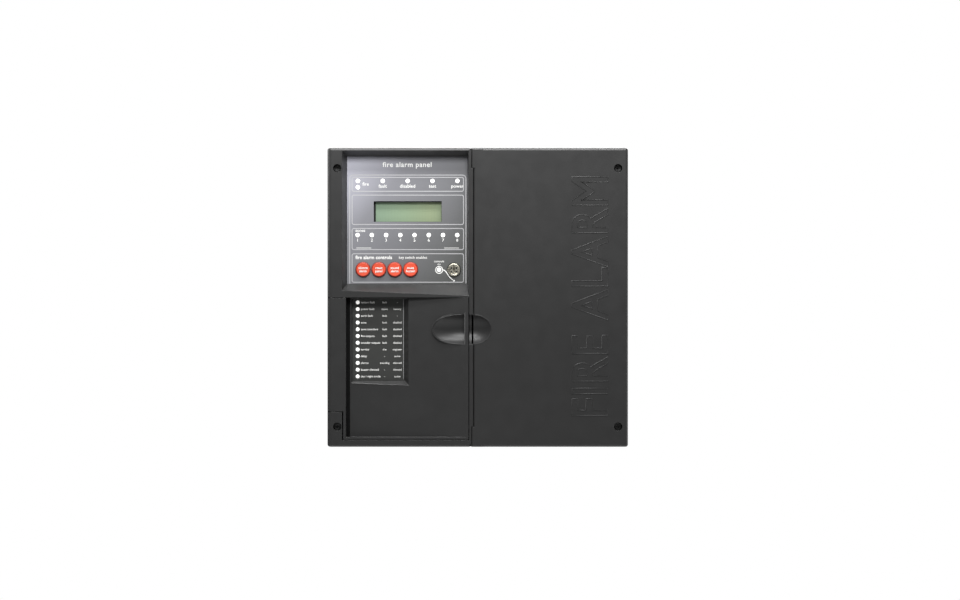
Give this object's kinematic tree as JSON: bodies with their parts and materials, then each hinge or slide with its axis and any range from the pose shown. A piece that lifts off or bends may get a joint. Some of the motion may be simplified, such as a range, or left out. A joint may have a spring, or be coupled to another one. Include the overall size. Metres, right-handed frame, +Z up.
{
  "type": "fire alarm control panel",
  "caption": "Wall-mounted fire alarm control panel: moulded case with a sunk display and button panel, a hinged service door and a large hinged cover over boards and batteries.",
  "frame": {"origin": "centre of the rear mounting face, where the panel meets the wall", "axes": "+Y into the wall (the front faces -Y), +Z up, +X to the right seen from the front"},
  "size_m": [0.35, 0.11, 0.348],
  "materials": {
    "casing": "fine moulded texture",
    "back_casing": "fine moulded texture",
    "dark_plate": "matt",
    "overlay_print": "fine satin print",
    "label_print": "fine satin print",
    "lcd_surface": "gloss",
    "lcd_frame": "satin",
    "light_lens": "gloss",
    "red_button": "satin",
    "key_cap": "matt",
    "nickel": "worn nickel",
    "zinc_screw": "black zinc",
    "circuit_board": "solder mask",
    "chip_plastic": "matt",
    "terminal_plastic": "matt",
    "relay_plastic": "satin",
    "fuse_glass": "clear",
    "bright_steel": "zinc plate",
    "battery_case": "matt",
    "brass_post": "turned",
    "pin_steel": "drawn"
  },
  "bodies": {
    "housing": {"back_box": "back_casing", "fascia": "casing", "door_hinge_pins": "pin_steel", "cover_hinge_pins": "pin_steel", "fascia_screws": "zinc_screw", "display_plate": "dark_plate", "display_overlay": "overlay_print", "lcd_bezel": "lcd_frame", "lcd_glass": "lcd_surface", "lcd_board": "circuit_board", "status_leds": "light_lens", "zone_leds": "light_lens", "key_led": "light_lens", "service_leds": "light_lens", "button_switches": "chip_plastic", "keypad_switches": "chip_plastic", "key_barrel": "nickel", "key_nut": "bright_steel", "display_board": "circuit_board", "display_board_parts": "chip_plastic", "service_plate": "dark_plate", "service_label": "label_print", "service_board": "circuit_board", "main_board": "circuit_board", "main_board_chips": "chip_plastic", "zone_relays": "relay_plastic", "terminal_blocks": "terminal_plastic", "board_fuses": "fuse_glass", "sounder_capsule": "chip_plastic", "board_standoffs": "brass_post", "board_screws": "bright_steel", "power_supply_case": "bright_steel", "transformer": "lcd_frame", "mains_terminal": "relay_plastic", "mains_fuse_holder": "chip_plastic", "earth_stud": "brass_post", "battery_lower": "battery_case", "battery_upper": "battery_case", "battery_terminals": "bright_steel", "battery_bracket": "bright_steel", "battery_shelf": "bright_steel"},
    "service_door": {"service_door": "casing"},
    "right_cover": {"right_cover": "casing", "cover_screws": "zinc_screw"},
    "key_plug": {"key_plug": "nickel"},
    "control_button_1": {"control_button_1": "red_button"},
    "keypad_key_1": {"keypad_key_1": "key_cap"},
    "control_button_2": {"control_button_2": "red_button"},
    "keypad_key_2": {"keypad_key_2": "key_cap"},
    "control_button_3": {"control_button_3": "red_button"},
    "keypad_key_3": {"keypad_key_3": "key_cap"},
    "control_button_4": {"control_button_4": "red_button"},
    "keypad_key_4": {"keypad_key_4": "key_cap"}
  },
  "joints": [
    {"name": "service_door_hinge", "type": "hinge", "parent": "housing", "child": "service_door", "pos_m": [-0.17, -0.105, -0.0668], "axis": [0, 0, -1], "range_deg": [0, 105]},
    {"name": "right_cover_hinge", "type": "hinge", "parent": "housing", "child": "right_cover", "pos_m": [0.0004, -0.1045, 0], "axis": [0, 0, -1], "range_deg": [0, 90]},
    {"name": "key_turn", "type": "hinge", "parent": "housing", "child": "key_plug", "pos_m": [-0.0278, -0.095, 0.0322], "axis": [0, 1, 0], "range_deg": [0, 90]},
    {"name": "control_button_1_press", "type": "slide", "parent": "housing", "child": "control_button_1", "axis": [0, 1, 0], "range_m": [0, 0.0015], "stiffness_N_per_m": 600},
    {"name": "keypad_key_1_press", "type": "slide", "parent": "housing", "child": "keypad_key_1", "axis": [0, 1, 0], "range_m": [0, 0.001], "stiffness_N_per_m": 600},
    {"name": "control_button_2_press", "type": "slide", "parent": "housing", "child": "control_button_2", "axis": [0, 1, 0], "range_m": [0, 0.0015], "stiffness_N_per_m": 600},
    {"name": "keypad_key_2_press", "type": "slide", "parent": "housing", "child": "keypad_key_2", "axis": [0, 1, 0], "range_m": [0, 0.001], "stiffness_N_per_m": 600},
    {"name": "control_button_3_press", "type": "slide", "parent": "housing", "child": "control_button_3", "axis": [0, 1, 0], "range_m": [0, 0.0015], "stiffness_N_per_m": 600},
    {"name": "keypad_key_3_press", "type": "slide", "parent": "housing", "child": "keypad_key_3", "axis": [0, 1, 0], "range_m": [0, 0.001], "stiffness_N_per_m": 600},
    {"name": "control_button_4_press", "type": "slide", "parent": "housing", "child": "control_button_4", "axis": [0, 1, 0], "range_m": [0, 0.0015], "stiffness_N_per_m": 600},
    {"name": "keypad_key_4_press", "type": "slide", "parent": "housing", "child": "keypad_key_4", "axis": [0, 1, 0], "range_m": [0, 0.001], "stiffness_N_per_m": 600}
  ]
}
